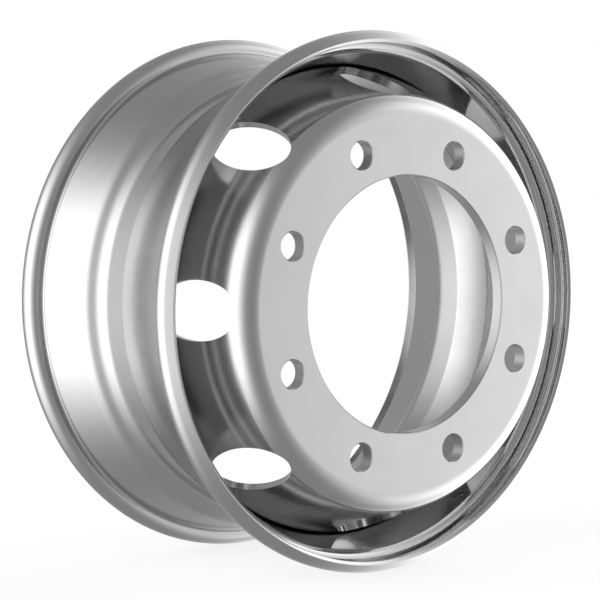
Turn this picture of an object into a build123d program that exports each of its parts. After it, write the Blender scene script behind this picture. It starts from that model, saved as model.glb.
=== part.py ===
from build123d import *
from math import cos, radians, sin, tan
import os

# Truck wheel: a steel disc wheel for a tubeless tyre, made of a rolled rim and a spun disc
# that is pushed into the rim and welded all round on the hidden side.
# The wheel's axis is Y. The origin is on the hub face, in the middle of the bore.
# Y grows inboard, so the face that the wheel nuts press on is at -plate_thickness. Z is up.

# Rim: bead seats and flanges
bead_seat_diameter = 444.5
seat_angle = 15
flange_height = 12.7
flange_upright = 2.3
heel_radius = 2.5
rim_width = 177.8
sheet = 6
hub_face_to_rim = 38.9

# Rim: the rolled lip at both ends
lip_angle = 43
lip_reach = 22.8
lip_end = 4
lip_end_lean = 29
lip_edge_radius = 0.8

# Rim: the well, whose floor lies well_depth below the outboard seat's shoulder
well_depth = 4.3
well_floor_length = 24.7
shoulder_angle = 36
shoulder_radius = 18
well_corner_radius = 11
inboard_seat_length = 48.5
inboard_wall_angle = 70
inboard_well_radius = 12
inboard_seat_radius = 13.5
bend_gap = 0.5

# Disc
plate_thickness = 12
plate_corner_radius = 175.8
plate_outer_bend = 20
plate_inner_bend = 12
disc_wall = 7
disc_contact_depth = 35.9
disc_edge_length = 20
disc_edge_bend = 10
press_gap = 0.1

# Hub connection
bore_diameter = 221
bore_edge = 1
bolt_circle = 275
bolt_count = 8
bolt_hole_diameter = 24
bolt_hole_edge = 0.8

# Hand holes
hand_hole_count = 8
hand_hole_width = 50.6
hand_hole_length = 78.3
hand_hole_tilt = 60
hand_hole_depth = 33.8

# Weld and valve hole
weld_on_rim = 7.5
weld_on_disc = 5.5
weld_bulge = 0.7
weld_gap = 0.05
valve_hole_diameter = 9.7
valve_hole_to_shoulder = 9

os.makedirs("parts", exist_ok=True)

seat_radius = bead_seat_diameter / 2
slope = radians(seat_angle)
seat_slope = tan(slope)
curl_radius = flange_height - flange_upright
outboard_seat = hub_face_to_rim
inboard_seat = hub_face_to_rim + rim_width
wheel_plane = Plane.XZ


def other_face(before, corner, after, wall, next_wall):
    """The corner on the far face of a sheet that turns from one run to the next, each with its own wall."""
    along = Vector(*corner) - Vector(*before)
    onward = Vector(*after) - Vector(*corner)
    across = Vector(-along.Y, along.X).normalized()
    next_across = Vector(-onward.Y, onward.X).normalized()
    turn = across.dot(next_across)
    shift = across * (wall - next_wall * turn) + next_across * (next_wall - wall * turn)
    point = Vector(*corner) + shift / (1 - turn**2)
    return (point.X, point.Y)


def seat_at(y):
    """Radius of the outboard bead seat's cone, at a distance along the axis."""
    return seat_radius - (y - outboard_seat) * seat_slope


def flange(seat_y, inward):
    """The lip's end and the curl's far corner, for the flange at seat_y whose rim lies towards inward."""
    curl_run = curl_radius * tan(radians((90 + lip_angle) / 2))
    far_radius = seat_radius + flange_upright + curl_run
    lip_radius = far_radius - lip_reach * tan(radians(lip_angle))
    lip_y = seat_y - inward * lip_reach
    return (lip_radius, lip_y), (far_radius, seat_y)


def lip_inner_edge(lip, inward):
    """The lip's inner edge, across its leaning end face."""
    lean = radians(lip_end_lean)
    return (lip[0] - lip_end * cos(lean), lip[1] + inward * lip_end * sin(lean))


# The outboard seat runs as deep as the well and the inboard seat leave room for
shoulder_run = well_depth / tan(radians(shoulder_angle))
wall_slant = tan(radians(inboard_wall_angle))
level_wall_run = (well_depth - inboard_seat_length * seat_slope) / wall_slant
seat_room = rim_width - inboard_seat_length - level_wall_run - well_floor_length - shoulder_run
shoulder_depth = seat_room / (1 + seat_slope / wall_slant)

# Corners of the tyre side, from the outboard lip to the inboard one, as (radius, distance along the axis)
lip, curl = flange(outboard_seat, 1)
heel = (seat_radius, outboard_seat)
shoulder = (seat_at(outboard_seat + shoulder_depth), outboard_seat + shoulder_depth)
floor_radius = shoulder[0] - well_depth
well_start = (floor_radius, shoulder[1] + shoulder_run)
well_end = (floor_radius, well_start[1] + well_floor_length)
seat_foot = (seat_radius - inboard_seat_length * seat_slope, inboard_seat - inboard_seat_length)
inboard_heel = (seat_radius, inboard_seat)
inboard_lip, inboard_curl = flange(inboard_seat, -1)
tyre_side = [lip, curl, heel, shoulder, well_start]
tyre_side += [well_end, seat_foot, inboard_heel, inboard_curl, inboard_lip]

# The same corners on the hub side of the sheet, which is thinner along the two lips
lip_wall = lip_end * cos(radians(lip_angle - lip_end_lean))
bend_count = len(tyre_side) - 2
walls = [lip_wall] + [sheet] * (bend_count - 1) + [lip_wall]
hub_side = [lip_inner_edge(lip, 1)]
for bend in range(bend_count):
    hub_side.append(other_face(*tyre_side[bend : bend + 3], walls[bend], walls[bend + 1]))
hub_side.append(lip_inner_edge(inboard_lip, -1))

# The wall between the well and the inboard seat has both bends in it, so it limits the second one
wall_turn = radians(inboard_wall_angle)
wall_length = (seat_foot[0] - floor_radius) / sin(wall_turn)
wall_left = wall_length - inboard_well_radius * tan(wall_turn / 2) - bend_gap
seat_bend = min(inboard_seat_radius, wall_left / tan((wall_turn - slope) / 2))

# Bend radii on the tyre side, and whether the bend is convex there: the far face has its centre in common
bends = [
    (curl_radius, True),
    (heel_radius, False),
    (shoulder_radius, True),
    (well_corner_radius, False),
    (inboard_well_radius, False),
    (seat_bend, True),
    (heel_radius, False),
    (curl_radius, True),
]
tyre_bends = [radius for radius, convex in bends]
hub_bends = [radius - sheet if convex else radius + sheet for radius, convex in bends]

with BuildPart() as rim:
    with BuildSketch(Plane.XY) as rim_section:
        with BuildLine():
            outside = FilletPolyline(*tyre_side, radius=tyre_bends)
            inside = FilletPolyline(*hub_side, radius=hub_bends)
            Line(outside @ 0, inside @ 0)
            Line(outside @ 1, inside @ 1)
        make_face()
        by_height = rim_section.vertices().sort_by(Axis.Y)
        fillet(by_height[:2] + by_height[-2:], lip_edge_radius)
    revolve(axis=Axis.Y)
    # Valve hole at the top, square to the sheet, between the disc's weld and the well
    valve_y = shoulder[1] - valve_hole_to_shoulder
    valve_centre = (0, valve_y, seat_at(valve_y))
    valve_plane = Plane(origin=valve_centre, x_dir=(1, 0, 0), z_dir=(0, sin(slope), cos(slope)))
    with BuildSketch(valve_plane):
        Circle(valve_hole_diameter / 2)
    extrude(amount=2 * sheet, both=True, mode=Mode.SUBTRACT)
rim.part.label = "rim"
export_step(rim.part, "parts/rim.step")

# The disc's outboard face, from the bore out to the edge that lies inside the rim
under_rim = sheet / cos(slope) + press_gap
contact_y = outboard_seat + disc_contact_depth
edge_y = contact_y + disc_edge_length * cos(slope)
bore_radius = bore_diameter / 2
bore_corner = (bore_radius, -plate_thickness)
plate_corner = (plate_corner_radius, -plate_thickness)
contact = (seat_at(contact_y) - under_rim, contact_y)
edge = (seat_at(edge_y) - under_rim, edge_y)

# Its inboard face: the plate is as thick as the blank, and spinning has thinned the wall
inner_plate_corner = other_face(bore_corner, plate_corner, contact, plate_thickness, disc_wall)
inner_contact = other_face(plate_corner, contact, edge, disc_wall, disc_wall)
inner_edge = (edge[0] - disc_wall * cos(slope), edge[1] - disc_wall * sin(slope))

with BuildPart() as hand_hole_punch:
    with BuildSketch():
        Ellipse(hand_hole_length / 2, hand_hole_width / 2)
    extrude(amount=hand_hole_width / 2, both=True)

with BuildPart(wheel_plane) as disc:
    with BuildSketch(Plane.XY) as disc_section:
        with BuildLine():
            face = FilletPolyline(
                bore_corner,
                plate_corner,
                contact,
                edge,
                radius=[plate_outer_bend, disc_edge_bend],
            )
            back = FilletPolyline(
                (bore_radius, 0),
                inner_plate_corner,
                inner_contact,
                inner_edge,
                radius=[plate_inner_bend, disc_edge_bend - disc_wall],
            )
            Line(face @ 0, back @ 0)
            Line(face @ 1, back @ 1)
        make_face()
        chamfer(disc_section.vertices().sort_by(Axis.X)[:2], bore_edge)
    revolve(axis=Axis.Y)
    # Bolt holes, between the hand holes
    with BuildSketch(wheel_plane.offset(plate_thickness)):
        with PolarLocations(bolt_circle / 2, bolt_count, start_angle=180 / bolt_count):
            Circle(bolt_hole_diameter / 2)
    extrude(amount=-plate_thickness, mode=Mode.SUBTRACT)
    nut_face_edges = disc.faces().filter_by(GeomType.PLANE).sort_by(Axis.Y)[0].edges()
    chamfer(nut_face_edges.sort_by(SortBy.LENGTH)[:bolt_count], bolt_hole_edge)
    # Hand holes, oval and punched through the wall, from the plate's bend to the rim
    wall_slope = (contact[0] - plate_corner[0]) / (contact[1] - plate_corner[1])
    hand_hole_radius = plate_corner_radius + (hand_hole_depth + plate_thickness) * wall_slope
    with Locations((0, 0, -hand_hole_depth)):
        with PolarLocations(hand_hole_radius, hand_hole_count):
            add(hand_hole_punch.part, rotation=(0, hand_hole_tilt, 0), mode=Mode.SUBTRACT)
disc.part.label = "disc"
export_step(disc.part, "parts/disc.step")

# Weld bead in the corner between the disc's edge and the rim
with BuildPart() as weld:
    with BuildSketch(Plane.XY):
        with BuildLine():
            root = (edge[0] + press_gap - weld_gap - weld_gap * sin(slope), edge[1] + weld_gap)
            on_rim = (root[0] - weld_on_rim * sin(slope), root[1] + weld_on_rim * cos(slope))
            on_disc = (root[0] - weld_on_disc * cos(slope), root[1] - weld_on_disc * sin(slope))
            Line(root, on_rim)
            SagittaArc(on_rim, on_disc, weld_bulge)
            Line(on_disc, root)
        make_face()
    revolve(axis=Axis.Y)
weld.part.label = "weld_bead"
export_step(weld.part, "parts/weld_bead.step")
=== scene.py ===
# %% [markdown]
# # A truck wheel, from its CAD frame to a studio picture
# A steel disc wheel for a tubeless tyre is three pieces of steel: a rolled rim, a spun disc that is
# pushed into it, and the weld that joins them on the hidden side.
# The CAD frame has all three as nodes. Their triangles are right in size but too coarse for a finish
# that mirrors, so each piece is drawn again here, finely and closed. The sections are written down in
# millimetres, with the CAD model's own values, apart from the rim's well, as told there. Each piece
# prints its size beside its node's.
# The axis of the wheel is Y, the hub face is at Y = 0 and the nuts press on the face at Y = -12 mm.

# %% Load the frame
from math import cos, degrees, pi, radians, sin, tan
import bmesh
import bpy
from mathutils import Matrix, Vector


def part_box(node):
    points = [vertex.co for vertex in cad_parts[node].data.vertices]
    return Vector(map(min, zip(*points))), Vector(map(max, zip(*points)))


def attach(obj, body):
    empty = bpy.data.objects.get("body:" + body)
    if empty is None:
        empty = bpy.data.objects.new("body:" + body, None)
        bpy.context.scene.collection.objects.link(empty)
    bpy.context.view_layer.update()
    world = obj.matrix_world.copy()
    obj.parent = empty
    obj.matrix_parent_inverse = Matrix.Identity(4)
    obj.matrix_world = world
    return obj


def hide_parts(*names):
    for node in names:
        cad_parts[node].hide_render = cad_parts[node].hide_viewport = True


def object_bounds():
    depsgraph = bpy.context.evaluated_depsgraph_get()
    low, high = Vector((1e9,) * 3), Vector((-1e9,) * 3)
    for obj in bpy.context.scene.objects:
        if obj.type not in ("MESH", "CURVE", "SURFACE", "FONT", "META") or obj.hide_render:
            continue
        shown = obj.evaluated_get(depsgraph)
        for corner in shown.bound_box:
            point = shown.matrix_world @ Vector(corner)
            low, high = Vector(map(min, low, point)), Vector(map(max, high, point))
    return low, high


def in_mm(metres):
    """Lengths in metres as millimetres, short enough to print."""
    return [round(1000 * length, 2) for length in metres]


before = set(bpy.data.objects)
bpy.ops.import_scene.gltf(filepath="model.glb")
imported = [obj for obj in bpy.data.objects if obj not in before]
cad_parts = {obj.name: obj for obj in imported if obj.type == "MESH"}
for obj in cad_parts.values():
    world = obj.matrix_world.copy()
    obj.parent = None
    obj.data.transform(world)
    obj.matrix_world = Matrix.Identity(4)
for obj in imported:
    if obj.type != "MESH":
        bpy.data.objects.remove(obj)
cad_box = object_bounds()
for name in sorted(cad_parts):
    low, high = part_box(name)
    print(name, "reaches from", in_mm(low), "to", in_mm(high), "mm")

# %% [markdown]
# ## Drawing a section
# Every piece of this wheel has the same section all the way round, so it can be drawn once and spun.
# A section could be a curve with handles, but a maker gives bends by their radius. So a straight run
# ends in a vertex, and that vertex is spun round the bend's own centre by the angle of the turn:
# the arc is exact, and the run after it starts where the arc stops.

# %% Sections from corners and bend radii
MM = 0.001
ARC_STEP = radians(5)
SMALL_BEND = 4  # millimetres; a bend below this is drawn with fewer steps, as nobody sees them
FEWEST_STEPS = 3


def section(mesh, corners):
    """Draws a closed outline from (radius, along the axis, bend radius) corners, in millimetres."""
    arcs = []
    for here, (radius, along, bend) in enumerate(corners):
        before, after = corners[here - 1], corners[(here + 1) % len(corners)]
        corner = MM * Vector((radius, along, 0))
        back = (MM * Vector((*before[:2], 0)) - corner).normalized()
        onward = (MM * Vector((*after[:2], 0)) - corner).normalized()
        turn = pi - back.angle(onward)
        start = mesh.verts.new(corner + back * bend * MM * tan(turn / 2))
        stop = start
        if bend:
            centre = corner + (back + onward).normalized() * bend * MM / cos(turn / 2)
            axis = (start.co - centre).cross(corner - centre).normalized()
            steps = max(FEWEST_STEPS, round(turn / ARC_STEP * min(1, bend / SMALL_BEND)))
            arc = bmesh.ops.spin(mesh, geom=[start], cent=centre, axis=axis, angle=turn, steps=steps)
            stop = arc["geom_last"][0]
        arcs.append((start, stop))
    for (_, stop), (start, _) in zip(arcs, arcs[1:] + arcs[:1]):
        mesh.edges.new((stop, start))
    print(len(corners), "corners drawn with", len(mesh.verts), "vertices")


# %% [markdown]
# ## Spinning a section
# One spin all the way round would do, but it takes longer with every face that is already there. A
# sixteenth of the ring is spun and then repeated, which gives the same mesh much sooner. The seams
# between the sixteenths are merged, and then all faces are turned outwards.

# %% Round the wheel's axis
WEDGES = 16
MERGE_WITHIN = 0.005  # millimetres


def revolve(mesh, steps):
    """Spins the outline once round the wheel's axis, as one wedge that is then repeated."""
    wheel_axis = {"cent": (0, 0, 0), "axis": (0, 1, 0)}
    wedge_angle = 2 * pi / WEDGES
    outline = mesh.verts[:] + mesh.edges[:]
    bmesh.ops.spin(mesh, geom=outline, angle=wedge_angle, steps=steps // WEDGES, **wheel_axis)
    wedge = mesh.verts[:] + mesh.edges[:] + mesh.faces[:]
    others = WEDGES - 1
    bmesh.ops.spin(
        mesh, geom=wedge, angle=others * wedge_angle, steps=others, use_duplicate=True, **wheel_axis
    )
    bmesh.ops.remove_doubles(mesh, verts=mesh.verts[:], dist=MERGE_WITHIN * MM)
    bmesh.ops.recalc_face_normals(mesh, faces=mesh.faces[:])


# %% [markdown]
# ## From mesh to piece
# A piece stays at the origin, with its place in its mesh, as a CAD node's does. Holes are cut with a
# tool of the right shape, as in the workshop. Shading is smooth on the bends and breaks only where two
# faces meet at a real edge, and the normals are weighted by area, so that flat faces mirror flat.

# %% Meshes into pieces
REAL_EDGE = radians(32)


def mesh_data(name, mesh):
    """Turns a bmesh into mesh data, and frees it."""
    data = bpy.data.meshes.new(name)
    mesh.to_mesh(data)
    mesh.free()
    return data


def new_object(name, mesh):
    """Turns a bmesh into an object at the origin."""
    made = bpy.data.objects.new(name, mesh_data(name, mesh))
    bpy.context.scene.collection.objects.link(made)
    return made


def cut(made, tool):
    """Takes the tool's shape out of the piece, for good."""
    change = made.modifiers.new("cut", "BOOLEAN")
    change.object, change.operation, change.solver = tool, "DIFFERENCE", "EXACT"
    done = bpy.data.meshes.new_from_object(made.evaluated_get(bpy.context.evaluated_depsgraph_get()))
    made.modifiers.clear()
    made.data = done
    bpy.data.objects.remove(tool)
    print(made.name, "has", len(done.polygons), "faces after the cut")


def dress(made, node_name, material):
    """Smooths the piece between its real edges, gives it its finish, and puts it in its node's place."""
    made.data.materials.clear()
    made.data.materials.append(material)
    made.data.shade_smooth()
    made.data.set_sharp_from_angle(angle=REAL_EDGE)
    even = made.modifiers.new("even_normals", "WEIGHTED_NORMAL")
    even.keep_sharp = True
    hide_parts(node_name)
    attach(made, "root")
    low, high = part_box(node_name)
    node_reach = [top - bottom for bottom, top in zip(low, high)]
    reach = [max(places) - min(places) for places in zip(*made.bound_box)]
    print(made.name, "is", in_mm(reach), "mm, its node", in_mm(node_reach))


# %% [markdown]
# ## Colours and shader nodes
# Colours are chosen as they look on a screen, and one function turns them to the linear values that
# Blender works with. One more function adds a shader node with its settings and its links. Both
# metals start alike and differ only in what reaches their roughness, colour and normal.

# %% Helpers for finishes
def linear(hex_colour):
    """An sRGB hex colour as the linear RGBA that Blender's sockets take."""
    parts = [int(hex_colour[start : start + 2], 16) / 255 for start in (1, 3, 5)]
    return (*[part / 12.92 if part <= 0.04045 else ((part + 0.055) / 1.055) ** 2.4 for part in parts], 1.0)


def add(tree, kind, settings=None, **inputs):
    """Adds a shader node. An input is a value, or another node's output to link; i0, i1 ... go by number."""
    made = tree.nodes.new("ShaderNode" + kind)
    for key, value in (settings or {}).items():
        setattr(made, key, value)
    for key, value in inputs.items():
        numbered = key[0] == "i" and key[1:].isdigit()
        socket = made.inputs[int(key[1:])] if numbered else made.inputs[key.replace("_", " ")]
        if isinstance(value, bpy.types.NodeSocket):
            tree.links.new(value, socket)
        else:
            socket.default_value = value
    return made


def new_metal(name):
    """A material that is metal, with nothing else set yet."""
    material = bpy.data.materials.new(name)
    material.use_nodes = True
    material.node_tree.nodes["Principled BSDF"].inputs["Metallic"].default_value = 1.0
    return material


def wire(material, rough, tint, bump):
    """Links a metal's roughness, colour and relief to its shader."""
    shader = material.node_tree.nodes["Principled BSDF"]
    material.node_tree.links.new(rough.outputs[0], shader.inputs["Roughness"])
    material.node_tree.links.new(tint.outputs[2], shader.inputs["Base Color"])
    material.node_tree.links.new(bump.outputs[0], shader.inputs["Normal"])
    print(material.name, "has", len(material.node_tree.nodes), "nodes")


# %% [markdown]
# ## The finish of the sheet
# Rim and disc are bare steel sheet that was turned on a spindle while it was polished, up to a satin
# mirror. So the marks that are left run round the wheel, and nothing crosses them.
# A picture of brushed metal would stretch and show a seam. The marks can be worked out instead from
# where a point lies in the section: its radius and its place along the axis, which are the same all
# the way round. A slow, wandering noise is added so that no mark goes on for ever.
# Their relief is too shallow to see from here. What the eye gets is a softly blurred mirror.
# The walls of the bolt holes were drilled and not polished. The disc carries a value called drilled
# on those faces, and where it is 1 the steel is duller.

# %% Bright steel
MARK_SPACING = 0.8  # millimetres; real polishing marks are finer, and would be too fine to show
MARK_DEPTH = 0.0005  # millimetres; half a micron, an estimate of what polishing leaves
MARK_WANDER, MARK_DRIFT = 40, 1.5  # millimetres; how far a mark runs, and how far it strays
PATCH_SIZE = 25  # millimetres; cloudy patches, a little brighter or duller
NOISE_LOW, NOISE_HIGH = 0.3, 0.7  # nearly all of a noise's values lie between these
SATIN_SMOOTHEST, SATIN_ROUGHEST = 0.13, 0.17
DRILLED_ROUGHNESS = 0.42  # a hole's wall is as the drill left it
STEEL, STEEL_DARK = "#C8C8C8", "#C0C0C0"


def bright_steel():
    """Polished bare steel: it mirrors the room softly, and its marks run round the wheel."""
    material = new_metal("bright_steel_turned_and_polished")
    tree = material.node_tree
    place = add(tree, "TexCoord").outputs["Object"]
    parts = add(tree, "SeparateXYZ", Vector=place)
    across = add(tree, "CombineXYZ", X=parts.outputs["X"], Y=parts.outputs["Z"])
    radius = add(tree, "VectorMath", {"operation": "LENGTH"}, i0=across.outputs[0]).outputs["Value"]
    wander = add(tree, "TexNoise", Vector=place, Scale=1 / (MARK_WANDER * MM), Detail=2.0)
    drift = add(tree, "Math", {"operation": "MULTIPLY"}, i0=wander.outputs[0], i1=MARK_DRIFT * MM)
    lane = add(tree, "CombineXYZ", X=radius, Y=parts.outputs["Y"], Z=drift.outputs[0])
    marks = add(tree, "TexNoise", Vector=lane.outputs[0], Scale=1 / (MARK_SPACING * MM), Detail=3.0)
    patches = add(tree, "TexNoise", Vector=place, Scale=1 / (PATCH_SIZE * MM), Detail=4.0)
    both = add(tree, "Mix", {"data_type": "FLOAT"}, i0=0.5, i2=marks.outputs[0], i3=patches.outputs[0])
    satin = add(
        tree,
        "MapRange",
        Value=both.outputs[0],
        i1=NOISE_LOW,
        i2=NOISE_HIGH,
        i3=SATIN_SMOOTHEST,
        i4=SATIN_ROUGHEST,
    )
    drilled = add(tree, "Attribute", {"attribute_name": "drilled"}).outputs["Fac"]
    rough = add(tree, "Mix", {"data_type": "FLOAT"}, i0=drilled, i2=satin.outputs[0], i3=DRILLED_ROUGHNESS)
    light, dark = linear(STEEL), linear(STEEL_DARK)
    tint = add(tree, "Mix", {"data_type": "RGBA"}, i0=patches.outputs[0], i6=light, i7=dark)
    bump = add(tree, "Bump", Strength=1.0, Distance=MARK_DEPTH * MM, Height=marks.outputs[0])
    wire(material, rough, tint, bump)
    return material


steel = bright_steel()

# %% [markdown]
# ## The rim
# The rim is one strip of sheet, 6 mm thick, rolled to a ring and then bent by rollers: a curl and a
# leaning lip at both ends, two seats at 15 degrees for the tyre's beads, and a well between them that
# lets the tyre be fitted. A single line with a Solidify modifier would nearly do, but the lips are
# thinner than the rest, so both faces of the sheet are drawn.
# Lips, curls, heels and the outboard seat are the CAD node's own, and the inboard seat lies on its
# cone. The well is not the node's. There the floor lies 4.3 mm deeper, with a step down to it and a
# steep inboard wall. Here it runs on level from the outboard seat, and its inboard wall leans at about
# 50 degrees with larger bends, as the bands in the photograph show. Those are the middle three
# corners of each list.

# %% Draw and spin the rim
RIM_STEPS = 384
TYRE_SIDE = [
    (227.207, 16.1, 0.8),
    (248.468, 38.9, 10.4),
    (222.25, 38.9, 2.5),
    (197.385, 131.696, 4),
    (197.385, 160.2, 17.5),
    (209.96, 170.8, 16.6),
    (222.25, 216.7, 2.5),
    (248.468, 216.7, 10.4),
    (227.207, 239.5, 0.8),
]
HUB_SIDE = [
    (223.709, 18.039, 0.8),
    (237.566, 32.9, 4.4),
    (217.646, 32.9, 8.5),
    (191.385, 130.93, 10),
    (191.385, 162.998, 23.5),
    (204.63, 174.1, 10.6),
    (217.646, 222.7, 8.5),
    (237.566, 222.7, 4.4),
    (223.709, 237.561, 0.8),
]
mesh = bmesh.new()
section(mesh, TYRE_SIDE + HUB_SIDE[::-1])
revolve(mesh, RIM_STEPS)
rim = new_object("rim_sheet", mesh)

# %% [markdown]
# ## The valve hole
# The valve sits in a round hole at the top of the wheel, square to the sheet, between the disc's weld
# and the well. A cylinder is turned to stand square on the seat's slope, and cut out of the rim.

# %% Cut the valve hole
VALVE_RADIUS, VALVE_DRILL_LENGTH = 4.85, 24
VALVE_PLACE = (0, 122.696, 199.797)
SEAT_ANGLE = radians(15)
mesh = bmesh.new()
bmesh.ops.create_cone(
    mesh,
    cap_ends=True,
    segments=64,
    radius1=VALVE_RADIUS * MM,
    radius2=VALVE_RADIUS * MM,
    depth=VALVE_DRILL_LENGTH * MM,
)
stand = Matrix.Translation(MM * Vector(VALVE_PLACE)) @ Matrix.Rotation(-SEAT_ANGLE, 4, "X")
bmesh.ops.transform(mesh, matrix=stand, verts=mesh.verts)
cut(rim, new_object("valve_drill", mesh))
dress(rim, "rim", steel)

# %% [markdown]
# ## The disc
# The disc starts as a flat blank, 12 mm thick. Spinning forms it over a tool into a dish and thins
# its wall to 7 mm. Its edge is a short cone that fits inside the rim. Here too the section is drawn
# and spun, and the holes are cut afterwards, as the press does it.

# %% Draw and spin the disc
DISC_STEPS = 640
DISC = [
    (110.5, -11, 0),
    (111.5, -12, 0),
    (175.8, -12, 20),
    (206.319, 74.8, 10),
    (201.143, 94.119, 0),
    (194.381, 92.307, 0),
    (198.997, 75.079, 3),
    (172.599, 0, 12),
    (111.5, 0, 0),
    (110.5, -1, 0),
]
mesh = bmesh.new()
section(mesh, DISC)
revolve(mesh, DISC_STEPS)
disc = new_object("disc_dish", mesh)

# %% [markdown]
# ## Bolt holes and hand holes
# Eight round holes take the hub's bolts, with a small chamfer on the side of the nuts. Eight oval
# holes between them cool the brake and give a hand or a strap something to hold.
# A bolt hole's tool is a spun outline that flares where the chamfer is. A hand hole's tool is a
# circle stretched to an oval and pulled out along the way of the punch, which is nearly square to
# the wall.

# %% Bolt drill
HOLES = 8
BOLT_CIRCLE, BOLT_HOLE_RADIUS = 275, 12
DRILL_STEPS = 80
BOLT_DRILL = [
    (0, -14, 0),
    (14.8, -14, 0),
    (BOLT_HOLE_RADIUS, -11.2, 0),
    (BOLT_HOLE_RADIUS, 4, 0),
    (0, 4, 0),
]
drill = bmesh.new()
section(drill, BOLT_DRILL)
revolve(drill, DRILL_STEPS)
bmesh.ops.translate(drill, vec=MM * Vector((BOLT_CIRCLE / 2, 0, 0)), verts=drill.verts[:])
between = Matrix.Rotation(pi / HOLES, 3, "Y")
bmesh.ops.rotate(drill, cent=(0, 0, 0), matrix=between, verts=drill.verts[:])
drill_data = mesh_data("drill", drill)

# %% Hand hole punch
HAND_HOLE_LENGTH, HAND_HOLE_WIDTH, HAND_HOLE_TILT = 78.3, 50.6, radians(60)
HAND_HOLE_RADIUS, HAND_HOLE_DEPTH = 191.903, 33.8
UNIT_RADIUS = 0.5
punch = bmesh.new()
bmesh.ops.create_cone(
    punch,
    cap_ends=True,
    segments=144,
    radius1=UNIT_RADIUS * MM,
    radius2=UNIT_RADIUS * MM,
    depth=HAND_HOLE_WIDTH * MM,
)
bmesh.ops.scale(punch, vec=(HAND_HOLE_LENGTH, HAND_HOLE_WIDTH, 1), verts=punch.verts)
along = Vector((cos(HAND_HOLE_TILT), sin(HAND_HOLE_TILT), 0))
through = Vector((sin(HAND_HOLE_TILT), -cos(HAND_HOLE_TILT), 0))
turned = Matrix((along, through.cross(along), through)).transposed().to_4x4()
seat = Matrix.Translation(MM * Vector((HAND_HOLE_RADIUS, HAND_HOLE_DEPTH, 0))) @ turned
bmesh.ops.transform(punch, matrix=seat, verts=punch.verts)
punch_data = mesh_data("punch", punch)
lean = through.angle(Vector((0, -1, 0)))
print("the punch leans", round(degrees(lean)), "degrees from the wheel's axis")

# %% Repeat both tools round the wheel and cut
tools = bmesh.new()
for data in (drill_data, punch_data):
    for count in range(HOLES):
        data.transform(Matrix.Rotation(2 * pi / HOLES, 4, "Y"))
        tools.from_mesh(data)
cut(disc, new_object("hole_tools", tools))

# %% [markdown]
# ## Telling the drilled walls apart
# The finish needs to know which faces the drill made. A second material would do, but the disc
# fills one material slot. So each face gets a number instead, 1 on the bolt holes' walls and 0
# elsewhere. A face is on a wall if it lies as near to a bolt's axis as the hole is wide, and doesn't
# look along the wheel's axis.

# %% Mark the drilled walls
NEAR_WALL = 0.05  # millimetres
LEVEL_ENOUGH = 0.2


def bolt_axis(count):
    """Where a bolt hole's middle lies, seen along the wheel's axis: halfway between two hand holes."""
    angle = (2 * count + 1) * pi / HOLES
    return BOLT_CIRCLE / 2 * MM * Vector((sin(angle), cos(angle)))


bolts = [bolt_axis(count) for count in range(HOLES)]
drilled = disc.data.attributes.new("drilled", "FLOAT", "FACE")
for face in disc.data.polygons:
    middle = Vector((face.center.x, face.center.z))
    near = min((middle - bolt).length for bolt in bolts) < (BOLT_HOLE_RADIUS + NEAR_WALL) * MM
    drilled.data[face.index].value = float(near and abs(face.normal.y) < LEVEL_ENOUGH)
print(sum(1 for mark in drilled.data if mark.value), "faces lie in drilled walls")
dress(disc, "disc", steel)

# %% [markdown]
# ## The weld
# One bead runs all round the disc's edge, on the inboard side. An arc weld freezes in ripples, one for
# each short step of the torch, and it is brushed but not polished, so it is duller than the sheet.
# The bead's bulging section is drawn and spun. Its ripples are too fine for the mesh, so they are
# relief in the finish: waves that run round the wheel and slant across the bead, with ragged edges.

# %% Rippled weld finish
RIPPLE, RIPPLE_DEPTH = 2.6, 0.25  # millimetres from one ripple to the next, and how high it stands
BEAD_RADIUS = 197.5  # millimetres from the wheel's axis
SLANT = 700.0  # radians of a wave's turn for each metre across the bead
RAGGED, RAGGED_SIZE = 2.5, 3  # radians that a ripple strays, and millimetres from one stray to the next
WELD_SMOOTHEST, WELD_ROUGHEST = 0.22, 0.36
WELD, WELD_DARK = "#BDBBB8", "#A3A19F"


def weld_steel():
    """Brushed weld metal: greyer and rougher than the sheet, with slanting ripples across the bead."""
    material = new_metal("weld_steel_rippled_and_brushed")
    tree = material.node_tree
    place = add(tree, "TexCoord").outputs["Object"]
    parts = add(tree, "SeparateXYZ", Vector=place)
    angle = add(tree, "Math", {"operation": "ARCTAN2"}, i0=parts.outputs["X"], i1=parts.outputs["Z"])
    ripples = float(round(2 * pi * BEAD_RADIUS / RIPPLE))
    phase = add(tree, "Math", {"operation": "MULTIPLY"}, i0=angle.outputs[0], i1=ripples)
    lag = add(tree, "Math", {"operation": "MULTIPLY"}, i0=parts.outputs["Y"], i1=SLANT)
    late = add(tree, "Math", {"operation": "SUBTRACT"}, i0=phase.outputs[0], i1=lag.outputs[0])
    uneven = add(tree, "TexNoise", Vector=place, Scale=1 / (RAGGED_SIZE * MM), Detail=3.0).outputs[0]
    jitter = add(tree, "Math", {"operation": "MULTIPLY_ADD"}, i0=uneven, i1=RAGGED, i2=late.outputs[0])
    wave = add(tree, "Math", {"operation": "SINE"}, i0=jitter.outputs[0])
    bump = add(tree, "Bump", Strength=0.8, Distance=RIPPLE_DEPTH * MM, Height=wave.outputs[0])
    rough = add(
        tree,
        "MapRange",
        Value=uneven,
        i1=NOISE_LOW,
        i2=NOISE_HIGH,
        i3=WELD_SMOOTHEST,
        i4=WELD_ROUGHEST,
    )
    tint = add(tree, "Mix", {"data_type": "RGBA"}, i0=uneven, i6=linear(WELD), i7=linear(WELD_DARK))
    wire(material, rough, tint, bump)
    return material


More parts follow.
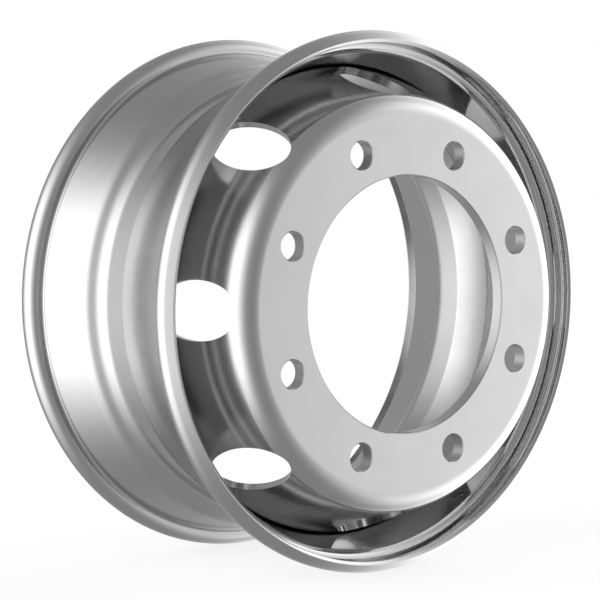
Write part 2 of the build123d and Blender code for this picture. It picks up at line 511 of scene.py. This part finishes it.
# %% Draw and spin the bead
BEAD_STEPS = 512
BEAD = [(201.18, 94.169, 0), (199.238, 101.413, 0), (197.2, 97.9, 6), (195.867, 92.745, 0)]
mesh = bmesh.new()
section(mesh, BEAD)
revolve(mesh, BEAD_STEPS)
bead = new_object("weld_ring", mesh)
dress(bead, "weld_bead", weld_steel())

# %% [markdown]
# ## The camera
# The photograph was taken from the left of the wheel's face and a little above its middle, with a
# long lens. The place and the lens come from fitting outlines in it: the rim's, the bore's and the
# holes'.

# %% Camera
IMAGE_SIDE = 600
FOCAL_PIXELS = 2311.6
SENSOR_MM = 36
CAMERA_PLACE = Vector((-1.3181, -1.4812, 0.1180))
AZIMUTH, ELEVATION = radians(-39.2055), radians(3.310)
back = Vector((sin(AZIMUTH) * cos(ELEVATION), -cos(AZIMUTH) * cos(ELEVATION), sin(ELEVATION)))
camera_data = bpy.data.cameras.new("camera")
camera_data.sensor_width = SENSOR_MM
camera_data.lens = FOCAL_PIXELS / IMAGE_SIDE * SENSOR_MM
camera = bpy.data.objects.new("camera", camera_data)
camera.location = CAMERA_PLACE
camera.rotation_euler = (-back).to_track_quat("-Z", "Y").to_euler()
bpy.context.scene.collection.objects.link(camera)
bpy.context.scene.camera = camera
print("lens", round(camera_data.lens, 1), "mm,", round(CAMERA_PLACE.length, 2), "m from the hub")

# %% [markdown]
# ## The studio
# Polished metal has no look of its own: it shows the room. The room here is what the photograph's
# reflections say: a tall soft light at each side of the wheel, and grey in front of it, above it and
# behind it. Lamps could stand for the lights, but their edges would show as hard shapes in the metal.
# So the room is worked out from the direction alone: a ramp round the horizon for the two lights,
# which fades towards the ceiling and the ground.
# The background is white for the camera only. Usually the metal would see it too, but a room that is
# white all round would leave this metal without any shape, and the photograph's metal shows greys.

# %% Lights round the horizon
ROOM_GREY = 0.36
LIGHT = 2.05
FADE_FROM, FADE_TO = radians(22), radians(80)  # above and below the horizon
ROUND_THE_ROOM = [
    (-180, 0.03),
    (-165, 0.05),
    (-141, 0.42),
    (-120, 1.0),
    (-80, 1.0),
    (-68, 0.74),
    (-53, 0.39),
    (-38, 0.13),
    (-23, 0.03),
    (0, 0.0),
    (22, 0.09),
    (38, 0.33),
    (45, 0.54),
    (60, 1.0),
    (112, 1.0),
    (125, 0.6),
    (137, 0.12),
    (150, 0.06),
    (180, 0.03),
]
world = bpy.data.worlds.new("studio")
world.use_nodes = True
bpy.context.scene.world = world
tree = world.node_tree
tree.nodes.clear()
way = add(tree, "SeparateXYZ", Vector=add(tree, "TexCoord").outputs["Generated"])
behind = add(tree, "Math", {"operation": "MULTIPLY"}, i0=way.outputs["Y"], i1=-1.0)
turn = add(tree, "Math", {"operation": "ARCTAN2"}, i0=way.outputs["X"], i1=behind.outputs[0])
around = add(tree, "MapRange", Value=turn.outputs[0], i1=-pi, i2=pi)
ramp = add(tree, "ValToRGB", Fac=around.outputs[0])
stops = ramp.color_ramp.elements
for bearing, share in ROUND_THE_ROOM[1:-1]:
    stops.new((bearing + 180) / 360).color = (share, share, share, 1)
for stop, (_, share) in zip((stops[0], stops[-1]), (ROUND_THE_ROOM[0], ROUND_THE_ROOM[-1])):
    stop.color = (share, share, share, 1)
print("the ramp has", len(stops), "stops")

# %% Fade them and paint the room
height = add(tree, "Math", {"operation": "ABSOLUTE"}, i0=way.outputs["Z"])
fade = add(
    tree,
    "MapRange",
    {"interpolation_type": "SMOOTHSTEP"},
    Value=height.outputs[0],
    i1=sin(FADE_FROM),
    i2=sin(FADE_TO),
    i3=1.0,
    i4=0.0,
)
lit = add(tree, "Math", {"operation": "MULTIPLY"}, i0=ramp.outputs[0], i1=fade.outputs[0])
level = add(tree, "MapRange", Value=lit.outputs[0], i3=ROOM_GREY, i4=LIGHT)
seen = add(tree, "LightPath")
room = add(tree, "Background", Color=(1, 1, 1, 1), Strength=level.outputs[0])
white = add(tree, "Background", Color=(1, 1, 1, 1), Strength=1.0)
chosen = add(tree, "MixShader", i0=seen.outputs["Is Camera Ray"], i1=room.outputs[0], i2=white.outputs[0])
add(tree, "OutputWorld", Surface=chosen.outputs[0])
bpy.context.scene.view_settings.view_transform = "Standard"
print("the room has", len(tree.nodes), "nodes")

# %% [markdown]
# ## The floor
# The photograph has no ground line and no shadow to speak of. The floor is a plain pale sheet just
# under the wheel. The camera sees it nearly white, from its own light, and a small share is left to
# the room's light, so that the wheel still leaves a faint shadow. The metal's rays pass through it:
# they see the room, which is the same above and below, as in the photograph. From underneath the
# sheet isn't there at all, so that the wheel can be looked at from below too.

# %% Pale floor
FLOOR_SIDE = 8  # metres
FLOOR_DROP = 0.1  # millimetres below the wheel
PAPER, PAPER_GLOW = 0.4, 0.73  # how much it takes from the room's light, and how much is its own
mesh = bmesh.new()
bmesh.ops.create_grid(mesh, x_segments=1, y_segments=1, size=FLOOR_SIDE / 2)
floor_height = cad_box[0][2] - FLOOR_DROP * MM
bmesh.ops.translate(mesh, vec=(0, 0, floor_height), verts=mesh.verts[:])
floor = new_object("studio_floor", mesh)
print("the floor lies at", round(1000 * floor_height, 2), "mm")

# %% White paper
paper = bpy.data.materials.new("white_paper_sweep")
paper.use_nodes = True
tree = paper.node_tree
tree.nodes.clear()
matt = add(tree, "BsdfDiffuse", Color=(PAPER, PAPER, PAPER, 1))
glow = add(tree, "Emission", Color=(1, 1, 1, 1), Strength=PAPER_GLOW)
sheet = add(tree, "AddShader", i0=matt.outputs[0], i1=glow.outputs[0])
seen = add(tree, "LightPath").outputs
camera_ray, passed_ray = seen["Is Camera Ray"], seen["Is Transmission Ray"]
looking = add(tree, "Math", {"operation": "MAXIMUM"}, i0=camera_ray, i1=passed_ray)
under = add(tree, "NewGeometry").outputs["Backfacing"]
from_above = add(tree, "Math", {"operation": "SUBTRACT", "use_clamp": True}, i0=looking.outputs[0], i1=under)
open_air = add(tree, "BsdfTransparent")
shown = add(tree, "MixShader", i0=from_above.outputs[0], i1=open_air.outputs[0], i2=sheet.outputs[0])
add(tree, "OutputMaterial", Surface=shown.outputs[0])
floor.data.materials.append(paper)
print(paper.name, "has", len(tree.nodes), "nodes")
